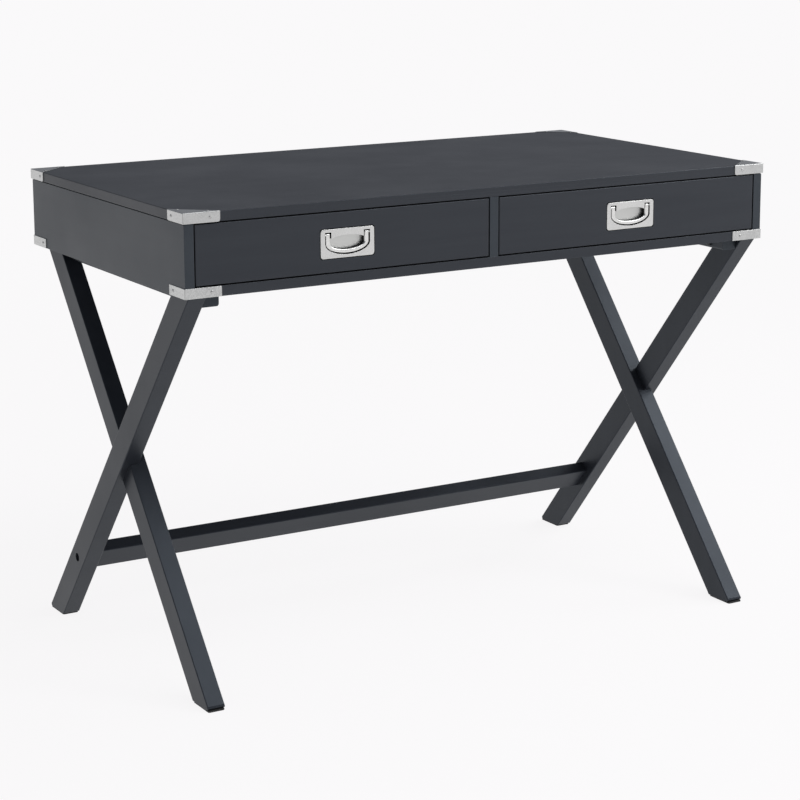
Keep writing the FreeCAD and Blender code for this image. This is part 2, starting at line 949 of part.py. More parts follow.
# Left drawer box, with its right-hand copy by mirroring
box_bottom = f"({case_floor} + drawer_box_lift)"
box_top = f"({box_bottom} + drawer_box_height)"
drawer_inside_left = f"({drawer_left} + drawer_side_thickness)"
drawer_inside_right = f"({drawer_right} - drawer_side_thickness)"
panel_bottom = f"({box_bottom} + drawer_bottom_rise)"
panel_top = f"({panel_bottom} + drawer_bottom_thickness)"
drawer_bottom_panel = box(
    "drawer_bottom_panel",
    (f"{drawer_inside_left} - drawer_groove_depth", f"{drawer_inside_right} + drawer_groove_depth"),
    (front_back, f"{box_back} - drawer_side_thickness"),
    (panel_bottom, panel_top),
)
keep_pair("drawer_bottom", drawer_bottom_panel)
for hand, x in (
    ("left", (drawer_left, drawer_inside_left)),
    ("right", (drawer_inside_right, drawer_right)),
):
    board = box(f"drawer_{hand}_board", x, (front_back, box_back), (box_bottom, box_top))
    grooved = cut(f"drawer_{hand}_side", board, drawer_bottom_panel, all_bar_screws)
    keep_pair(f"drawer_side_{'outer' if hand == 'left' else 'inner'}", grooved)
keep_pair(
    "drawer_back",
    box(
        "drawer_back",
        (drawer_inside_left, drawer_inside_right),
        (f"{box_back} - drawer_side_thickness", box_back),
        (box_bottom, box_top),
    ),
)

# Flush pull: a cast plate let into a shallow seat of the drawer front, its back block in a pocket behind.
# Its hollow is a channel that the bail lies in, and inside that a deeper cup for the fingers.
front_bottom = f"({case_floor} + drawer_gap)"
front_top = f"({slab_underside} - drawer_gap)"
pull_x = opening_middle
pull_z = f"(({front_bottom} + {front_top}) / 2 - pull_drop)"
plate_face = f"(-{case_front} - pull_rise)"
plate_back = f"(-{case_front} + pull_seat_depth)"
bail_top = "(bail_pivot_rise + bail_thickness / 2)"
channel_top = f"({bail_top} + bail_play)"
channel_floor = f"({plate_face} + pull_channel_depth)"
cup_floor = f"({plate_face} + pull_cup_depth)"
bail_inner_half = "(bail_half_width - bail_arm_width)"
bail_inner_drop = "(bail_drop - bail_bar_width)"


def oval(name, half_width, half_height, y):
    """An elliptical cylinder about the pull's middle, between two depths."""
    outline = doc.addObject("Part::Ellipse", name + "_outline")
    outline.Placement = FreeCAD.Placement(FreeCAD.Vector(), FreeCAD.Rotation(ACROSS, 90))
    bind(outline, MajorRadius=half_width, MinorRadius=half_height)
    put(outline, pull_x, y[0], pull_z)
    solid = doc.addObject("Part::Extrusion", name)
    solid.Base = outline
    solid.DirMode = "Custom"
    solid.Dir = BACKWARD
    solid.Solid = True
    return bind(solid, LengthFwd=f"({y[1]}) - ({y[0]})")


def round_bottomed(name, half_width, drop, top, y):
    """An upright slab round the pull's middle: straight sides, a half ellipse below and a flat top."""
    lower = oval(name + "_lower", half_width, drop, y)
    upper = box(
        name + "_upper",
        (f"{pull_x} - {half_width}", f"{pull_x} + {half_width}"),
        y,
        (pull_z, f"{pull_z} + {top}"),
    )
    trimmed = cut(
        name + "_trimmed",
        lower,
        box(
            name + "_above",
            (f"{pull_x} - {half_width} - overrun", f"{pull_x} + {half_width} + overrun"),
            (f"{y[0]} - overrun", f"{y[1]} + overrun"),
            (pull_z, f"{pull_z} + {drop} + overrun"),
        ),
    )
    return fuse(name, trimmed, upper)


plate_blank = box(
    "plate_blank",
    (f"{pull_x} - pull_width / 2", f"{pull_x} + pull_width / 2"),
    (plate_face, plate_back),
    (f"{pull_z} - pull_height / 2", f"{pull_z} + pull_height / 2"),
)
doc.recompute()
plate_shape = plate_blank.Shape
plate_cornered = ease(
    "plate_cornered",
    plate_blank,
    ("pull_corner_radius", lambda edge: runs(edge, BACKWARD)),
)
doc.recompute()
plate_eased = ease(
    "plate_eased",
    plate_cornered,
    ("pull_edge_radius", lambda edge: at_end(edge, plate_shape, "YMin")),
)
pull_block = box(
    "pull_block",
    (f"{pull_x} - pull_body_width / 2", f"{pull_x} + pull_body_width / 2"),
    (f"-{case_front}", f"pull_body_depth - {case_front}"),
    (f"{pull_z} - pull_body_height / 2", f"{pull_z} + pull_body_height / 2"),
)
pull_tab = cut(
    "pull_tab",
    box(
        "pull_tab_blank",
        (
            f"{pull_x} - {bail_inner_half} + bail_play",
            f"{pull_x} + {bail_inner_half} - bail_play",
        ),
        (f"{plate_face} - 2 * overrun", f"{channel_floor} + overrun"),
        (pull_z, f"{pull_z} + {channel_top} + overrun"),
    ),
    oval(
        "pull_tab_arch",
        "bail_half_width",
        "pull_cup_top",
        (f"{plate_face} - 3 * overrun", f"{channel_floor} + 2 * overrun"),
    ),
)
channel_hollow = cut(
    "pull_channel_hollow",
    round_bottomed(
        "pull_channel",
        "(bail_half_width + bail_play)",
        "(bail_drop + bail_play)",
        channel_top,
        (f"{plate_face} - overrun", channel_floor),
    ),
    pull_tab,
)
cup_hollow = doc.addObject("Part::MultiCommon", "pull_cup_hollow")
cup_hollow.Shapes = [
    round_bottomed(
        "pull_cup",
        f"({bail_inner_half} - pull_cup_play)",
        f"({bail_inner_drop} - pull_cup_play)",
        "(pull_cup_top + overrun)",
        (f"{plate_face} - overrun", cup_floor),
    ),
    oval("cup_arch", "bail_half_width", "pull_cup_top", (f"{plate_face} - 2 * overrun", cup_floor)),
]
bail_middle_y = f"({plate_face} + bail_recess + bail_thickness / 2)"
pivot_z = f"({pull_z} + bail_pivot_rise)"
pull_screws = group(
    "left_pull_screws",
    *[
        screw(
            f"pull_screw_{number}",
            "pull_screw_head_radius",
            "pull_screw_head_thickness",
            "pull_screw_radius",
            "pull_screw_length",
            -BACKWARD,
            f"{pull_x} {sign} pull_screw_spacing / 2",
            front_back,
            pull_z,
        )
        for number, sign in enumerate("-+")
    ],
)
pull_plate = cut(
    "pull_plate",
    fuse("pull_casting", plate_eased, pull_block),
    channel_hollow,
    cup_hollow,
    rod(
        "pivot_bore",
        "bail_pin_radius + bail_pin_play",
        "2 * (bail_half_width + bail_pin_reach + bail_play)",
        ACROSS,
        f"{pull_x} - bail_half_width - bail_pin_reach - bail_play",
        bail_middle_y,
        pivot_z,
    ),
    pull_screws,
)
keep_pair("pull_plate", pull_plate)
keep_pair("pull_screws", pull_screws)

# Drawer front, with a round-cornered seat and a pocket for the pull
front_blank = box(
    "front_blank",
    (f"{opening_left} + drawer_gap", f"{opening_right} - drawer_gap"),
    (f"-{case_front}", front_back),
    (front_bottom, front_top),
)
doc.recompute()
front_shape = front_blank.Shape
front_eased = ease(
    "front_eased",
    front_blank,
    ("board_edge_radius", lambda edge: at_end(edge, front_shape, "YMin")),
)
front_pocket = box(
    "front_pocket",
    (
        f"{pull_x} - pull_body_width / 2 - pull_pocket_play",
        f"{pull_x} + pull_body_width / 2 + pull_pocket_play",
    ),
    (f"-{case_front} - overrun", f"pull_body_depth - {case_front}"),
    (
        f"{pull_z} - pull_body_height / 2 - pull_pocket_play",
        f"{pull_z} + pull_body_height / 2 + pull_pocket_play",
    ),
)
front_seat = box(
    "front_seat",
    (
        f"{pull_x} - pull_width / 2 - pull_seat_gap",
        f"{pull_x} + pull_width / 2 + pull_seat_gap",
    ),
    (f"-{case_front} - overrun", plate_back),
    (
        f"{pull_z} - pull_height / 2 - pull_seat_gap",
        f"{pull_z} + pull_height / 2 + pull_seat_gap",
    ),
)
seat_cornered = ease(
    "seat_cornered",
    front_seat,
    ("pull_corner_radius", lambda edge: runs(edge, BACKWARD)),
)
keep_pair("drawer_front", cut("drawer_front", front_eased, seat_cornered, front_pocket, pull_screws))

# Bail: a flat U that hangs in the channel on two stub pins
bail_y = (f"{bail_middle_y} - bail_thickness / 2", f"{bail_middle_y} + bail_thickness / 2")
bail_outer = round_bottomed(
    "bail_outer",
    "bail_half_width",
    "bail_drop",
    "bail_pivot_rise",
    bail_y,
)
bail_inner = round_bottomed(
    "bail_inner",
    bail_inner_half,
    bail_inner_drop,
    f"({bail_top} + overrun)",
    (f"{bail_y[0]} - overrun", f"{bail_y[1]} + overrun"),
)
bail_knuckle = rod(
    "bail_knuckle",
    "bail_thickness / 2",
    "2 * bail_half_width",
    ACROSS,
    f"{pull_x} - bail_half_width",
    bail_middle_y,
    pivot_z,
)
bail_frame = ease(
    "bail_frame",
    cut("bail_flat", fuse("bail_solid", bail_outer, bail_knuckle), bail_inner),
    ("bail_edge_radius", lambda edge: not runs(edge, ACROSS) and not runs(edge, BACKWARD)),
)
bail_pins = cut(
    "bail_pins",
    rod(
        "bail_pin_rod",
        "bail_pin_radius",
        "2 * (bail_half_width + bail_pin_reach)",
        ACROSS,
        f"{pull_x} - bail_half_width - bail_pin_reach",
        bail_middle_y,
        pivot_z,
    ),
    box(
        "bail_pin_gap",
        (f"{pull_x} - bail_half_width + bail_play", f"{pull_x} + bail_half_width - bail_play"),
        (f"{bail_y[0]} - overrun", f"{bail_y[1]} + overrun"),
        (f"{pivot_z} - overrun", f"{pivot_z} + overrun"),
    ),
)
keep_pair("bail", fuse("bail", bail_frame, bail_pins))

doc.recompute()

# Check every object, then write each piece
for obj in doc.Objects:
    if "Invalid" in obj.State or "Error" in obj.State:
        raise RuntimeError("%s is %s" % (obj.Label, obj.State))
for node, obj in parts.items():
    if obj.Shape.isNull() or not obj.Shape.isValid():
        raise RuntimeError("%s has no valid shape" % node)
    if not obj.Shape.Solids:
        raise RuntimeError("%s holds no solid" % node)

os.makedirs("parts", exist_ok=True)
for node, obj in parts.items():
    obj.Shape.exportStep(os.path.join("parts", node + ".step"))
    print("%-26s %2d solids %12.1f mm3" % (node, len(obj.Shape.Solids), obj.Shape.Volume))
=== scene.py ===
"""Looks for the campaign writing desk: lacquer, metal, screw heads, studio and camera.
Lengths are in metres, in the CAD frame."""

import math

import bmesh
import bpy
from mathutils import Matrix, Vector


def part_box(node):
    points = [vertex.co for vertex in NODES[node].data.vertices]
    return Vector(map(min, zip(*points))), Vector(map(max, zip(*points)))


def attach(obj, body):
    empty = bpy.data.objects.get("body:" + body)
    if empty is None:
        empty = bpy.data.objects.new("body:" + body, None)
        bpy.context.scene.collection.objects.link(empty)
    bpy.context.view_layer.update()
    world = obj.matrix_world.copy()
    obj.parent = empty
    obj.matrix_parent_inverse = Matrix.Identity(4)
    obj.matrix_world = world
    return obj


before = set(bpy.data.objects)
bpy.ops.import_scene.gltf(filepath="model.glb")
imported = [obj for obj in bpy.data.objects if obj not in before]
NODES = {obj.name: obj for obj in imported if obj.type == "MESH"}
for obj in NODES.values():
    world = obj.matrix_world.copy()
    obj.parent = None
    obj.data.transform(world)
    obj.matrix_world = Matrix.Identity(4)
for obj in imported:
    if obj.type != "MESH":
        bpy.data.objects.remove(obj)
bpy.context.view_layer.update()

# Camera, fitted to the photograph: degrees turned to the right of +Y and dipped below the horizon
CAMERA_PLACE = (-1.9314, -3.2928, 1.2763)
CAMERA_TURN = 30.42
CAMERA_DIP = 11.27
CAMERA_ROLL = -0.25
CAMERA_FOCUS_PIXELS = 2235.0
CAMERA_SHIFT = -0.10
CAMERA_REACH = 200.0
PICTURE_PIXELS = 800.0
SENSOR_MILLIMETRES = 36.0

# Lamps: place, width and height, and watts, each turned to the middle of the desk
LAMP_TARGET = (0.0, 0.0, 0.55)
LAMPS = {
    "key": ((2.75, -2.1, 2.95), (2.0, 2.0), 70.0),
    "front": ((0.6, -2.4, 4.2), (2.6, 2.0), 50.0),
    "low": ((4.0, -1.6, 1.2), (2.0, 1.6), 14.0),
    "side": ((5.0, 0.6, 3.2), (2.4, 2.0), 66.0),
}

# Colours, linear
LACQUER = (0.0225, 0.0243, 0.0292)
LACQUER_LIGHT = (0.0275, 0.0297, 0.0350)
# Painted shade: the legs' and stretcher's lacquer is a darker copy of the boards' lacquer
LEG_LACQUER_PAINTED_DARKER = (0.0180, 0.0205, 0.0265)
LEG_GRAIN_PAINTED_DARKER = (0.0225, 0.0255, 0.0325)
# Painted light: the side panels', cleats' and divider's lacquer is a lighter copy of the boards' lacquer
PANEL_LACQUER_PAINTED_LIGHTER = (0.0265, 0.0320, 0.0385)
PANEL_GRAIN_PAINTED_LIGHTER = (0.0325, 0.0385, 0.0455)
INNER_LACQUER = (0.0200, 0.0225, 0.0260)
# Lighter lacquer on edges, partly wear and partly painted highlight
WORN_AND_HIGHLIT_LACQUER = (0.0700, 0.0780, 0.0880)
SEAT_SHADE = (0.002, 0.002, 0.002)
NICKEL = (0.72, 0.72, 0.71)
NICKEL_DARK = (0.62, 0.62, 0.61)
BAIL_NICKEL = (0.81, 0.81, 0.795)
BAIL_NICKEL_DARK = (0.72, 0.72, 0.705)
GUARD_NICKEL = (0.61, 0.615, 0.61)
GUARD_NICKEL_DARK = (0.47, 0.475, 0.47)
SCREW_NICKEL = (0.52, 0.52, 0.515)
SCREW_NICKEL_DARK = (0.40, 0.40, 0.395)
# Lighter nickel on edges, partly worn bright and partly painted highlight
BRIGHT_NICKEL = (0.88, 0.88, 0.865)
# Painted shade: the darker bottom of a pull's cup, and the near-black walls of its hollows and bottom of
# its bail's channel
SHADED_CUP_NICKEL = (0.62, 0.625, 0.61)
CUP_SHADE = (0.012, 0.012, 0.013)
FOLD_SHADE = (0.10, 0.10, 0.10)
BLACK_STEEL = (0.055, 0.055, 0.058)
BLACK_STEEL_DARK = (0.035, 0.035, 0.037)
ZINC = (0.56, 0.57, 0.58)
ZINC_DARK = (0.42, 0.43, 0.45)
BEECH = (0.50, 0.34, 0.19)
BEECH_DARK = (0.40, 0.25, 0.13)
RUBBER = (0.018, 0.018, 0.019)
FLOOR = (0.86, 0.855, 0.86)
CEILING = (0.215, 0.225, 0.250)
BACKGROUND = (0.955, 0.947, 0.955)

# Tints of the lacquer's shine
LACQUER_TINT = (0.80, 0.88, 1.0)
LEG_TINT = (0.76, 0.87, 1.0)
NO_TINT = (1.0, 1.0, 1.0)

# Lacquers: base colour, colour of the light grain and tint of the shine
BOARD_COLOURS = (LACQUER, LACQUER_LIGHT, LACQUER_TINT)
LEG_COLOURS_PAINTED_DARKER = (LEG_LACQUER_PAINTED_DARKER, LEG_GRAIN_PAINTED_DARKER, LEG_TINT)
PANEL_COLOURS_PAINTED_LIGHTER = (PANEL_LACQUER_PAINTED_LIGHTER, PANEL_GRAIN_PAINTED_LIGHTER, LACQUER_TINT)
INNER_COLOURS = (INNER_LACQUER, LACQUER, LACQUER_TINT)

# Roughness of each finish, and how strongly the ones that aren't metal shine
BOARD_ROUGHNESS = 0.38
INNER_ROUGHNESS = 0.55
NICKEL_ROUGHNESS = 0.34
BAIL_ROUGHNESS = 0.30
BEECH_ROUGHNESS = 0.60
FLOOR_ROUGHNESS = 0.90
BOARD_SHINE = 0.40
LEG_SHINE = 0.31
STRETCHER_SHINE = 0.28
PLAIN_SHINE = 0.50
FLOOR_SHINE = 0.10

# Noise: cells to the metre, levels of detail and how rough they are
GRAIN_NOISE = (34.0, 6.0, 0.62)
PEEL_NOISE = (620.0, 2.0, 0.45)
LACQUER_CLOUD_NOISE = (5.0, 3.0, 0.55)
DUST_NOISE = (2600.0, 1.0, 0.50)
HANDLING_NOISE = (70.0, 4.0, 0.60)
GRIT_NOISE = (2300.0, 3.0, 0.60)
BRUSH_NOISE = (60.0, 4.0, 0.60)
NICKEL_CLOUD_NOISE = (38.0, 3.0, 0.50)
FLECK_NOISE = (640.0, 2.0, 0.50)
ROLLING_NOISE = (90.0, 4.0, 0.60)
SPANGLE_NOISE = (170.0, 2.0, 0.50)
BEECH_NOISE = (300.0, 5.0, 0.60)
RUBBER_NOISE = (1800.0, 2.0, 0.50)
FLOOR_NOISE = (400.0, 3.0, 0.50)

# Scales of a noise on the three axes: it runs along the axis where the scale is smallest
ALONG_X = (0.05, 1.0, 1.0)
ALONG_Y = (1.0, 0.05, 1.0)
ALONG_Z = (1.0, 1.0, 0.05)
BRUSHED_ALONG_X = (1.0, 12.0, 12.0)
ROLLED_ALONG_Y = (6.0, 0.35, 6.0)
BEECH_ALONG_Z = (1.0, 1.0, 0.12)
NO_TURN = (0.0, 0.0, 0.0)

# Relief: height of the bumps and their strength
GRAIN_RELIEF = (0.00012, 0.35)
PEEL_RELIEF = (0.00006, 0.30)
GRIT_RELIEF = (0.00004, 0.35)
ROLLING_RELIEF = (0.00003, 0.40)
BEECH_RELIEF = (0.00005, 0.50)
RUBBER_RELIEF = (0.00005, 0.50)
FLOOR_RELIEF = (0.0001, 0.10)

# Radii that edges look rounded to, and how far from an edge its wear and painted highlight and a fold's
# painted shade reach
LACQUER_EDGE = 0.0009
NICKEL_EDGE = 0.0005
STEEL_EDGE = 0.0003
LACQUER_WEAR_AND_HIGHLIGHT_REACH = 0.0016
NICKEL_WEAR_AND_HIGHLIGHT_REACH = 0.0009
FOLD_REACH = 0.0011
EDGE_SAMPLES = 4

# Ranges of a noise that become 0 to 1
GRAIN_RANGE = (0.35, 0.70)
LACQUER_CLOUD_RANGE = (0.30, 0.70)
BRUSH_RANGE = (0.30, 0.75)
SPANGLE_RANGE = (0.35, 0.70)
BEECH_RANGE = (0.35, 0.75)

# Ranges of a noise, and what they become
DUST_ROUGHNESS = (0.55, 0.75, 0.0, 0.05)
WEAR_AND_HIGHLIGHT_PATCHES = (0.35, 0.65, 0.25, 1.0)
CLOUD_DARKNESS = (0.35, 0.75, 0.0, 0.5)
GRIT_DARKNESS = (0.5, 0.8, 0.0, 0.3)
FLECK_DARKNESS = (0.40, 0.62, -0.3, 0.6)
ROLLING_ROUGHNESS = (0.30, 0.70, 0.30, 0.46)
RUBBER_ROUGHNESS = (0.3, 0.7, 0.62, 0.78)

# How much smoother and rougher than its roughness a finish gets in places
LACQUER_SMOOTHER, LACQUER_ROUGHER = 0.03, 0.05
NICKEL_SMOOTHER, NICKEL_ROUGHER = 0.05, 0.07

# Wear and painted highlight on edges: cosines between rounded and flat normal where they start and are
# full, their share and the wear's polish
WEAR_AND_HIGHLIGHT_RANGE = (0.99, 0.80)
LACQUER_WEAR_AND_HIGHLIGHT_SHARE = 0.6
NICKEL_WEAR_AND_HIGHLIGHT_SHARE = 0.7
WEAR_POLISH = 0.08

# A guard's upright fold: how evenly a spot faces front and side, and the share of the shade
FOLD_RANGE = (0.10, 0.40, 0.0, 0.8)

# How squarely a spot faces front or back: the first range tells a bottom, and the second a wall
BOTTOM_FACING = (0.90, 0.97)
WALL_FACING = (0.45, 0.75, 1.0, 0.0)

# Depths behind a drawer's front face between which the bottom of its pull's seat lies, painted black as
# shade
SEAT_STARTS = (0.0008, 0.0016)
SEAT_ENDS = (0.0030, 0.0036, 1.0, 0.0)

# Depths behind a pull's face of its hollows' walls, the bottom of the bail's channel and that of the cup,
# which are painted darker as shade
HOLLOW_STARTS = (0.0008, 0.0015)
CHANNEL_STARTS = (0.004, 0.005)
CHANNEL_ENDS = (0.0066, 0.0072, 1.0, 0.0)
CUP_STARTS = (0.0070, 0.0085)

# Screw heads: rise and cross as shares of the radius, and the level in the cross as a share of the dome's
HEAD_RISE = 0.24
HEAD_RINGS = 9
HEAD_STEPS = 40
CROSS_ARM = 0.55
CROSS_WIDTH = 0.13
CROSS_LEVEL = 0.15

# Reading screws: distance that joins points, digits for sorting, and the rim as a share of a head's radius
MERGE_DISTANCE = 1e-6
SORT_DIGITS = 5
HEAD_RIM = 0.9

# The two screws in a guard's triangular plate: distances from the desk's side and front or back edge
PLATE_SCREW_PLACES = ((0.042, 0.0065), (0.0065, 0.042))
PLATE_SCREW_RADIUS = 0.0026

# A leg's width along Y, as a level cut shows it
LEG_LEVEL_WIDTH = 0.059

# Floor: half its side, the distances between which it turns into plain background, and how it does so
FLOOR_HALF = 60.0
FLOOR_NEAR, FLOOR_FAR = 1.0, 4.0
GLOW_SHARE_NEAR, GLOW_SHARE_FAR = 0.90, 1.0
GLOW_NEAR, GLOW_FAR = 1.03, 1.0

# World: light on matt surfaces, and heights of a direction where metal's horizon is white and is grey
AMBIENT_STRENGTH = 0.42
HORIZON_WHITE, HORIZON_GREY = 0.0, 0.06


class Graph:
    """A node tree, built by short calls that return the new node's socket."""

    def __init__(self, tree):
        self.tree = tree

    def node(self, kind, **values):
        """A new node with its attributes set."""
        made = self.tree.nodes.new(kind)
        for name, value in values.items():
            setattr(made, name, value)
        return made

    def plug(self, socket, value):
        """Links an input to another node's socket, or sets it to a value or a colour without alpha."""
        if isinstance(value, bpy.types.NodeSocket):
            self.tree.links.new(value, socket)
        elif socket.type == "RGBA":
            socket.default_value = (*value, 1.0)
        else:
            socket.default_value = value

    def feed(self, made, **sockets):
        """Plugs a node's inputs by name."""
        for name, value in sockets.items():
            self.plug(made.inputs[name], value)

    def feed_in_order(self, made, *values):
        """Plugs a node's first inputs in their order."""
        for socket, value in zip(made.inputs, values):
            self.plug(socket, value)

    def spread(self, value, low, high, to_low=0.0, to_high=1.0):
        """A value's range moved to another, clamped."""
        made = self.node("ShaderNodeMapRange", clamp=True)
        self.feed_in_order(made, value, low, high, to_low, to_high)
        return made.outputs["Result"]

    def combine(self, operation, *values):
        """One sum of one or two values."""
        made = self.node("ShaderNodeMath", operation=operation)
        self.feed_in_order(made, *values)
        return made.outputs["Value"]

    def blend(self, share, first, second):
        """A colour between two colours."""
        made = self.node("ShaderNodeMix", data_type="RGBA")
        self.feed(made, Factor=share)
        colours = [socket for socket in made.inputs if socket.type == "RGBA"]
        for socket, colour in zip(colours, (first, second)):
            self.plug(socket, colour)
        return made.outputs["Result"]

    def parts(self, vector):
        """A vector's X, Y and Z."""
        made = self.node("ShaderNodeSeparateXYZ")
        self.feed(made, Vector=vector)
        return made.outputs

    def shows_background(self, rays):
        """1 for the rays that show the background: the camera's, mirrored ones and those through glass."""
        shown = self.combine("MAXIMUM", rays["Is Camera Ray"], rays["Is Glossy Ray"])
        return self.combine("MAXIMUM", shown, rays["Is Transmission Ray"])


class Shader(Graph):
    """A material's node tree, with its surface and the object's coordinates."""

    def __init__(self, name):
        self.material = bpy.data.materials.new(name)
        self.material.use_nodes = True
        super().__init__(self.material.node_tree)
        self.surface = self.tree.nodes["Principled BSDF"]
        self.place = self.node("ShaderNodeTexCoord").outputs["Object"]

    def stretched(self, scale, turn=NO_TURN):
        """The object's coordinates turned and scaled."""
        mapping = self.node("ShaderNodeMapping")
        self.feed(mapping, Vector=self.place, Rotation=turn, Scale=scale)
        return mapping.outputs["Vector"]

    def noise(self, scale, detail, roughness, vector=None):
        """Noise between 0 and 1."""
        made = self.node("ShaderNodeTexNoise")
        self.feed(made, Vector=vector or self.place, Scale=scale, Detail=detail, Roughness=roughness)
        return made.outputs["Fac"]

    def relief(self, height, distance, strength, normal=None):
        """A bumped normal."""
        made = self.node("ShaderNodeBump")
        self.feed(made, Height=height, Distance=distance, Strength=strength)
        if normal is not None:
            self.feed(made, Normal=normal)
        return made.outputs["Normal"]

    def soft_edges(self, radius):
        """A normal that rounds the sharp edges of the mesh."""
        made = self.node("ShaderNodeBevel", samples=EDGE_SAMPLES)
        self.feed(made, Radius=radius)
        return made.outputs["Normal"]

    def edge_wear_and_highlight(self, radius, patches):
        """How worn a spot is and how much highlight is painted on it: 1 on a sharp edge, 0 on a flat face,
        broken up by patches of noise.
        """
        flat = self.node("ShaderNodeNewGeometry").outputs["Normal"]
        turned = self.node("ShaderNodeVectorMath", operation="DOT_PRODUCT")
        self.feed_in_order(turned, self.soft_edges(radius), flat)
        edge = self.spread(turned.outputs["Value"], *WEAR_AND_HIGHLIGHT_RANGE)
        return self.combine("MULTIPLY", edge, self.spread(patches, *WEAR_AND_HIGHLIGHT_PATCHES))

    def depth_and_facing(self, front):
        """How far a spot is behind a front face, and how squarely it faces front or back."""
        depth = self.combine("SUBTRACT", self.parts(self.place)["Y"], front)
        normal = self.parts(self.node("ShaderNodeNewGeometry").outputs["True Normal"])
        return depth, self.combine("ABSOLUTE", normal["Y"])

    def finish(self, colour, roughness, normal, metallic=0.0, shine=PLAIN_SHINE, tint=NO_TINT):
        """Feeds the surface and returns the finished material."""
        looks = {"Base Color": colour, "Specular IOR Level": shine, "Specular Tint": tint}
        self.feed(self.surface, Roughness=roughness, Normal=normal, Metallic=metallic, **looks)
        return self.material


def lacquer(name, stretch, turn=NO_TURN, colours=BOARD_COLOURS, roughness=BOARD_ROUGHNESS,
            shine=BOARD_SHINE, front=None):
    """Satin near-black lacquer over wood: faint grain along the board, orange peel, dust, and edges
    lighter, partly worn and partly painted highlight.
    With a drawer's front face given, the seat of its pull is painted black behind it as shade."""
    shader = Shader(name)
    base, light, tint = colours
    grain = shader.noise(*GRAIN_NOISE, shader.stretched(stretch, turn))
    peel = shader.noise(*PEEL_NOISE)
    cloud = shader.noise(*LACQUER_CLOUD_NOISE)
    dust = shader.noise(*DUST_NOISE)
    colour = shader.blend(shader.spread(grain, *GRAIN_RANGE), base, light)
    # Edges painted lighter, partly as wear and partly as painted highlight
    wear_and_highlight = shader.edge_wear_and_highlight(LACQUER_WEAR_AND_HIGHLIGHT_REACH, shader.noise(*HANDLING_NOISE))
    colour = shader.blend(shader.combine("MULTIPLY", wear_and_highlight, LACQUER_WEAR_AND_HIGHLIGHT_SHARE), colour, WORN_AND_HIGHLIT_LACQUER)
    smooth, rough = roughness - LACQUER_SMOOTHER, roughness + LACQUER_ROUGHER
    satin = shader.spread(cloud, *LACQUER_CLOUD_RANGE, smooth, rough)
    satin = shader.combine("SUBTRACT", satin, shader.combine("MULTIPLY", wear_and_highlight, WEAR_POLISH))
    satin = shader.combine("ADD", satin, shader.spread(dust, *DUST_ROUGHNESS))
    waves = shader.relief(grain, *GRAIN_RELIEF, shader.soft_edges(LACQUER_EDGE))
    normal = shader.relief(peel, *PEEL_RELIEF, waves)
    seat = 0.0
    if front is not None:
        # Painted shade: the seat's bottom is black, and made metal so that it doesn't shine
        depth, facing = shader.depth_and_facing(front)
        seat = shader.spread(depth, *SEAT_STARTS)
        seat = shader.combine("MULTIPLY", seat, shader.spread(depth, *SEAT_ENDS))
        seat = shader.combine("MULTIPLY", seat, shader.spread(facing, *BOTTOM_FACING))
        colour = shader.blend(seat, colour, SEAT_SHADE)
    return shader.finish(colour, satin, normal, metallic=seat, shine=shine, tint=tint)


def nickel(name, base=NICKEL, dark=NICKEL_DARK, roughness=NICKEL_ROUGHNESS, cast_face=None, folded=False):
    """Satin nickel plate: a fine cast grain, flecks, soft brushing, darker patches, and edges lighter,
    partly worn bright and partly painted highlight.
    With a casting's face given, its hollows get painted shade behind it: near black at the walls and at
    the bottom of the bail's channel, and darker at the bottom of the cup.
    A folded guard has painted shade along its upright fold."""
    shader = Shader(name)
    grit = shader.noise(*GRIT_NOISE)
    brush = shader.noise(*BRUSH_NOISE, shader.stretched(BRUSHED_ALONG_X))
    cloud = shader.noise(*NICKEL_CLOUD_NOISE)
    fleck = shader.noise(*FLECK_NOISE)
    share = shader.spread(cloud, *CLOUD_DARKNESS)
    share = shader.combine("ADD", share, shader.spread(grit, *GRIT_DARKNESS))
    share = shader.combine("ADD", share, shader.spread(fleck, *FLECK_DARKNESS))
    colour = shader.blend(share, base, dark)
    # Edges painted lighter, partly as wear and partly as painted highlight
    wear_and_highlight = shader.edge_wear_and_highlight(NICKEL_WEAR_AND_HIGHLIGHT_REACH, cloud)
    colour = shader.blend(shader.combine("MULTIPLY", wear_and_highlight, NICKEL_WEAR_AND_HIGHLIGHT_SHARE), colour, BRIGHT_NICKEL)
    satin = shader.spread(brush, *BRUSH_RANGE, roughness - NICKEL_SMOOTHER, roughness + NICKEL_ROUGHER)
    normal = shader.relief(grit, *GRIT_RELIEF, shader.soft_edges(NICKEL_EDGE))
    if folded:
        # Painted shade along the guard's upright fold, where the rounded normal turns between front and
        # side
        turned = shader.parts(shader.soft_edges(FOLD_REACH))
        fold = shader.combine("MULTIPLY", turned["X"], turned["Y"])
        fold = shader.spread(shader.combine("ABSOLUTE", fold), *FOLD_RANGE)
        colour = shader.blend(fold, colour, FOLD_SHADE)
    if cast_face is not None:
        # Painted shade in the pull's hollows: the cup's bottom darker, the walls and the channel's bottom
        # near black
        depth, facing = shader.depth_and_facing(cast_face)
        colour = shader.blend(shader.spread(depth, *CUP_STARTS), colour, SHADED_CUP_NICKEL)
        wall = shader.spread(facing, *WALL_FACING)
        wall = shader.combine("MULTIPLY", wall, shader.spread(depth, *HOLLOW_STARTS))
        channel = shader.spread(depth, *CHANNEL_STARTS)
        channel = shader.combine("MULTIPLY", channel, shader.spread(depth, *CHANNEL_ENDS))
        channel = shader.combine("MULTIPLY", channel, shader.spread(facing, *BOTTOM_FACING))
        colour = shader.blend(shader.combine("MAXIMUM", wall, channel), colour, CUP_SHADE)
    return shader.finish(colour, satin, normal, metallic=1.0)


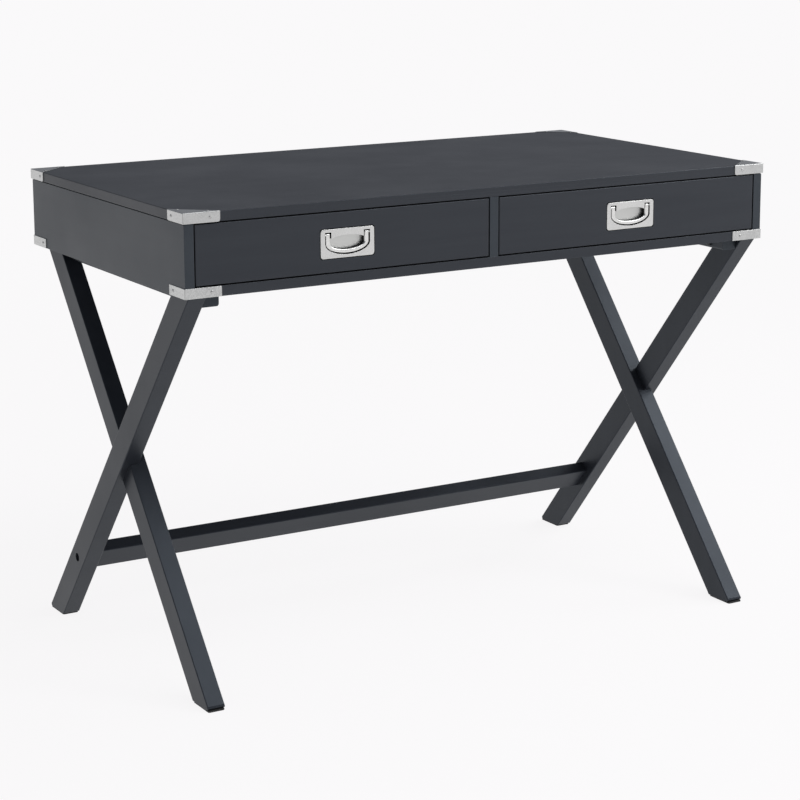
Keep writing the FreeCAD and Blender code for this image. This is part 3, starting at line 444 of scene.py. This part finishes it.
def steel(name, base, dark):
    """Plated steel for slides and fasteners: mottled, with long faint rolling marks."""
    shader = Shader(name)
    rolling = shader.noise(*ROLLING_NOISE, shader.stretched(ROLLED_ALONG_Y))
    spangle = shader.noise(*SPANGLE_NOISE)
    colour = shader.blend(shader.spread(spangle, *SPANGLE_RANGE), base, dark)
    normal = shader.relief(rolling, *ROLLING_RELIEF, shader.soft_edges(STEEL_EDGE))
    return shader.finish(colour, shader.spread(rolling, *ROLLING_ROUGHNESS), normal, metallic=1.0)


def beech(name):
    """Bare beech: short dark flecks in a pale straight grain."""
    shader = Shader(name)
    grain = shader.noise(*BEECH_NOISE, shader.stretched(BEECH_ALONG_Z))
    colour = shader.blend(shader.spread(grain, *BEECH_RANGE), BEECH, BEECH_DARK)
    return shader.finish(colour, BEECH_ROUGHNESS, shader.relief(grain, *BEECH_RELIEF))


def rubber(name):
    """Matt black glides with a fine moulded texture."""
    shader = Shader(name)
    grit = shader.noise(*RUBBER_NOISE)
    normal = shader.relief(grit, *RUBBER_RELIEF)
    return shader.finish(RUBBER, shader.spread(grit, *RUBBER_ROUGHNESS), normal)


# One lacquer for each direction that boards and legs run in, because the faint grain follows the board.
# The legs' and stretcher's lacquer is a darker copy, as painted shade, and the side panels' a lighter
# copy, as painted light.
leg_low, leg_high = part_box("left_outer_leg")
leg_slope = math.atan2(leg_high.y - leg_low.y - LEG_LEVEL_WIDTH, leg_high.z - leg_low.z)
OUTER_LEG_TURN = (-leg_slope, 0.0, 0.0)
INNER_LEG_TURN = (leg_slope, 0.0, 0.0)
MATERIALS = {
    "width": lacquer("lacquer_width", ALONG_X),
    "depth": lacquer("lacquer_depth", ALONG_Y, colours=PANEL_COLOURS_PAINTED_LIGHTER),
    "front": lacquer("lacquer_drawer_front", ALONG_X, front=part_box("left_drawer_front")[0].y),
    "stretcher": lacquer("lacquer_stretcher", ALONG_X, colours=LEG_COLOURS_PAINTED_DARKER, shine=STRETCHER_SHINE),
    "outer_leg": lacquer("lacquer_outer_leg", ALONG_Z, OUTER_LEG_TURN, LEG_COLOURS_PAINTED_DARKER, shine=LEG_SHINE),
    "inner_leg": lacquer("lacquer_inner_leg", ALONG_Z, INNER_LEG_TURN, LEG_COLOURS_PAINTED_DARKER, shine=LEG_SHINE),
    "inner_width": lacquer("lacquer_drawer_width", ALONG_X, NO_TURN, INNER_COLOURS, INNER_ROUGHNESS),
    "inner_depth": lacquer("lacquer_drawer_depth", ALONG_Y, NO_TURN, INNER_COLOURS, INNER_ROUGHNESS),
    "guard": nickel("satin_nickel_guard", GUARD_NICKEL, GUARD_NICKEL_DARK, folded=True),
    "pull": nickel("satin_nickel_pull", cast_face=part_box("left_pull_plate")[0].y),
    "bail": nickel("satin_nickel_bail", BAIL_NICKEL, BAIL_NICKEL_DARK, BAIL_ROUGHNESS),
    "screw": nickel("satin_nickel_screw", SCREW_NICKEL, SCREW_NICKEL_DARK),
    "zinc": steel("zinc_steel", ZINC, ZINC_DARK),
    "black_steel": steel("black_steel", BLACK_STEEL, BLACK_STEEL_DARK),
    "beech": beech("bare_beech"),
    "rubber": rubber("black_rubber"),
}

# A node takes the finish of the first word here that its name has
FINISHES = (
    ("_pull_plate", "pull"),
    ("_bail", "bail"),
    ("guard_screws", "screw"),
    ("guard", "guard"),
    ("cleat_screws", "black_steel"),
    ("bolts", "black_steel"),
    ("drawer_front", "front"),
    ("stretcher", "stretcher"),
    ("outer_leg", "outer_leg"),
    ("inner_leg", "inner_leg"),
    ("glides", "rubber"),
    ("dowels", "beech"),
    ("screws", "zinc"),
    ("_slide_", "zinc"),
    ("drawer_side", "inner_depth"),
    ("drawer_back", "inner_width"),
    ("drawer_bottom", "inner_width"),
    ("side_panel", "depth"),
    ("cleat", "depth"),
    ("centre_divider", "depth"),
    ("", "width"),
)
for name, node in NODES.items():
    finish = next(material for word, material in FINISHES if word in name)
    node.data.materials.clear()
    node.data.materials.append(MATERIALS[finish])


def new_object(name, data):
    """A new object in the scene."""
    made = bpy.data.objects.new(name, data)
    bpy.context.scene.collection.objects.link(made)
    return made


def unit(axis):
    """The unit vector of an axis number."""
    return Vector(1.0 if i == axis else 0.0 for i in range(3))


def box_of(points):
    """The lowest and highest corner of the box round some points."""
    low = Vector(min(point[i] for point in points) for i in range(3))
    high = Vector(max(point[i] for point in points) for i in range(3))
    return low, high


def middle_of(points):
    """The middle of the box round some points."""
    low, high = box_of(points)
    return (low + high) / 2


def loose_pieces(node):
    """The points of each separate solid in a node, in the order of the solids' middles."""
    mesh = bmesh.new()
    mesh.from_mesh(node.data)
    bmesh.ops.remove_doubles(mesh, verts=mesh.verts, dist=MERGE_DISTANCE)
    left = set(mesh.verts)
    found = []
    while left:
        stack = [left.pop()]
        points = []
        while stack:
            vertex = stack.pop()
            points.append(vertex.co.copy())
            for edge in vertex.link_edges:
                other = edge.other_vert(vertex)
                if other in left:
                    left.remove(other)
                    stack.append(other)
        found.append(points)
    mesh.free()
    return sorted(found, key=lambda points: tuple(round(part, SORT_DIGITS) for part in middle_of(points)))


def screw_head(points):
    """Where a screw's head is, which way it faces and its radius, read from the screw's own shape."""
    low, high = box_of(points)
    size = high - low
    centre = (low + high) / 2
    axis = max(range(3), key=lambda i: size[i])
    along = unit(axis)
    radius = max(size[i] for i in range(3) if i != axis) / 2
    wide = []
    for point in points:
        out = point - centre
        if (out - out.dot(along) * along).length > radius * HEAD_RIM:
            wide.append(point)
    side = 1.0 if middle_of(wide)[axis] > centre[axis] else -1.0
    return centre + along * side * size[axis] / 2, along * side, radius


def heads_of(node_name):
    """The heads of all the screws in a node."""
    return [screw_head(points) for points in loose_pieces(NODES[node_name])]


def plate_heads():
    """The two small screws in each top guard's triangular plate, one near each of its acute corners."""
    heads = []
    for hand in ("left", "right"):
        for end in ("front", "back"):
            low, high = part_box(hand + "_" + end + "_guard_top")
            across = 1.0 if hand == "left" else -1.0
            inward = 1.0 if end == "front" else -1.0
            side = low.x if hand == "left" else high.x
            edge = low.y if end == "front" else high.y
            corner = Vector((side, edge, high.z))
            for from_side, from_edge in PLATE_SCREW_PLACES:
                place = corner + Vector((across * from_side, inward * from_edge, 0.0))
                heads.append((place, unit(2), PLATE_SCREW_RADIUS))
    return heads


def dome(x, y, radius):
    """The height of a domed head with a cross recess above the flat face that it covers."""
    height = radius * HEAD_RISE * (1.0 - (math.hypot(x, y) / radius) ** 2)
    near, far = sorted((abs(x), abs(y)))
    in_cross = near < radius * CROSS_WIDTH and far < radius * CROSS_ARM
    return height * CROSS_LEVEL if in_cross else height


def cap(mesh, face, outward, radius):
    """Adds a low dome with a cross recess, standing on a flat face."""
    turn = outward.to_track_quat("Z", "Y").to_matrix()
    grid = []
    for ring in range(1, HEAD_RINGS + 1):
        reach = radius * ring / HEAD_RINGS
        row = []
        for step in range(HEAD_STEPS):
            angle = 2.0 * math.pi * step / HEAD_STEPS
            x, y = reach * math.cos(angle), reach * math.sin(angle)
            row.append(mesh.verts.new(face + turn @ Vector((x, y, dome(x, y, radius)))))
        grid.append(row)
    middle = mesh.verts.new(face + turn @ Vector((0.0, 0.0, dome(0.0, 0.0, radius))))
    first = grid[0]
    for step in range(HEAD_STEPS):
        mesh.faces.new((middle, first[step], first[(step + 1) % HEAD_STEPS]))
    for inner, outer in zip(grid, grid[1:]):
        for step in range(HEAD_STEPS):
            after = (step + 1) % HEAD_STEPS
            mesh.faces.new((inner[step], outer[step], outer[after], inner[after]))


def screw_heads(name, heads, body, finish):
    """One piece of all the screw heads given by place, direction and radius."""
    mesh = bmesh.new()
    for head in heads:
        cap(mesh, *head)
    data = bpy.data.meshes.new(name)
    mesh.to_mesh(data)
    mesh.free()
    for polygon in data.polygons:
        polygon.use_smooth = True
    data.materials.append(MATERIALS[finish])
    piece = new_object(name, data)
    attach(piece, body)


# Screw heads on the desk's frame: the piece, its heads, their finish and their slot
FRAME_HEADS = (
    ("guard_screw_heads_top", heads_of("guard_screws_top"), "screw", "satin_nickel"),
    ("guard_screw_heads_bottom", heads_of("guard_screws_bottom"), "screw", "satin_nickel"),
    ("guard_plate_screw_heads", plate_heads(), "bail", "satin_nickel"),
    ("slide_channel_screw_heads", heads_of("slide_channel_screws"), "zinc", "zinc_steel"),
    ("cleat_screw_heads", heads_of("cleat_screws"), "black_steel", "black_steel"),
    ("leg_head_bolt_heads", heads_of("leg_head_bolts"), "black_steel", "black_steel"),
)
for name, heads, finish, slot in FRAME_HEADS:
    screw_heads(name, heads, "desk_frame", finish)
for hand in ("left", "right"):
    for kind in ("slide_bar", "pull"):
        name = hand + "_" + kind + "_screw"
        screw_heads(name + "_heads", heads_of(name + "s"), hand + "_drawer", "zinc")


def floor_material():
    """A pale diffuse floor. The camera and reflections see mostly the background's colour near the desk,
    with some of its shadow, and only that colour further off."""
    shader = Shader("pale_floor")
    normal = shader.relief(shader.noise(*FLOOR_NOISE), *FLOOR_RELIEF)
    shader.finish(FLOOR, FLOOR_ROUGHNESS, normal, shine=FLOOR_SHINE)
    away = shader.node("ShaderNodeVectorMath", operation="LENGTH")
    shader.feed(away, Vector=shader.place)
    distance = away.outputs["Value"]
    glow = shader.node("ShaderNodeEmission")
    strength = shader.spread(distance, FLOOR_NEAR, FLOOR_FAR, GLOW_NEAR, GLOW_FAR)
    shader.feed(glow, Color=BACKGROUND, Strength=strength)
    shown = shader.shows_background(shader.node("ShaderNodeLightPath").outputs)
    share = shader.spread(distance, FLOOR_NEAR, FLOOR_FAR, GLOW_SHARE_NEAR, GLOW_SHARE_FAR)
    share = shader.combine("MULTIPLY", shown, share)
    mix = shader.node("ShaderNodeMixShader")
    shader.feed_in_order(mix, share, shader.surface.outputs["BSDF"], glow.outputs["Emission"])
    shader.feed(shader.tree.nodes["Material Output"], Surface=mix.outputs["Shader"])
    return shader.material


floor_corners = [(x * FLOOR_HALF, y * FLOOR_HALF, 0.0) for x, y in ((-1, -1), (1, -1), (1, 1), (-1, 1))]
floor_mesh = bpy.data.meshes.new("floor")
floor_mesh.from_pydata(floor_corners, [], [range(len(floor_corners))])
floor_mesh.materials.append(floor_material())
floor = new_object("floor", floor_mesh)

for name, (place, size, watts) in LAMPS.items():
    lamp = bpy.data.lights.new(name, "AREA")
    lamp.shape = "RECTANGLE"
    lamp.size, lamp.size_y = size
    lamp.energy = watts
    stand = new_object(name, lamp)
    stand.location = place
    stand.rotation_mode = "QUATERNION"
    stand.rotation_quaternion = (Vector(LAMP_TARGET) - Vector(place)).to_track_quat("-Z", "Y")


def studio_world():
    """A plain even light for matt surfaces. The camera sees the background's colour all round. Metal and
    lacquer see it up to the horizon, and a grey ceiling above."""
    world = bpy.data.worlds.new("studio")
    bpy.context.scene.world = world
    world.use_nodes = True
    graph = Graph(world.node_tree)
    height = graph.parts(graph.node("ShaderNodeTexCoord").outputs["Generated"])["Z"]
    rays = graph.node("ShaderNodeLightPath").outputs
    ceiling = graph.spread(height, HORIZON_WHITE, HORIZON_GREY, to_high=rays["Is Glossy Ray"])
    colour = graph.blend(ceiling, BACKGROUND, CEILING)
    strength = graph.spread(graph.shows_background(rays), 0.0, 1.0, to_low=AMBIENT_STRENGTH)
    graph.feed(graph.tree.nodes["Background"], Color=colour, Strength=strength)


studio_world()

# Camera
turn, dip, roll = (math.radians(angle) for angle in (CAMERA_TURN, CAMERA_DIP, CAMERA_ROLL))
forward = Vector((math.sin(turn) * math.cos(dip), math.cos(turn) * math.cos(dip), -math.sin(dip)))
level = Vector((math.cos(turn), -math.sin(turn), 0.0))
above = level.cross(forward)
right = level * math.cos(roll) + above * math.sin(roll)
upward = above * math.cos(roll) - level * math.sin(roll)
camera_data = bpy.data.cameras.new("camera")
camera_data.sensor_width = SENSOR_MILLIMETRES
camera_data.lens = CAMERA_FOCUS_PIXELS * SENSOR_MILLIMETRES / PICTURE_PIXELS
camera_data.shift_y = CAMERA_SHIFT
camera_data.clip_end = CAMERA_REACH
camera = new_object("camera", camera_data)
camera_turn = Matrix((right, upward, -forward)).transposed()
camera.matrix_world = Matrix.Translation(CAMERA_PLACE) @ camera_turn.to_4x4()
bpy.context.scene.camera = camera

bpy.context.scene.view_settings.view_transform = "Standard"
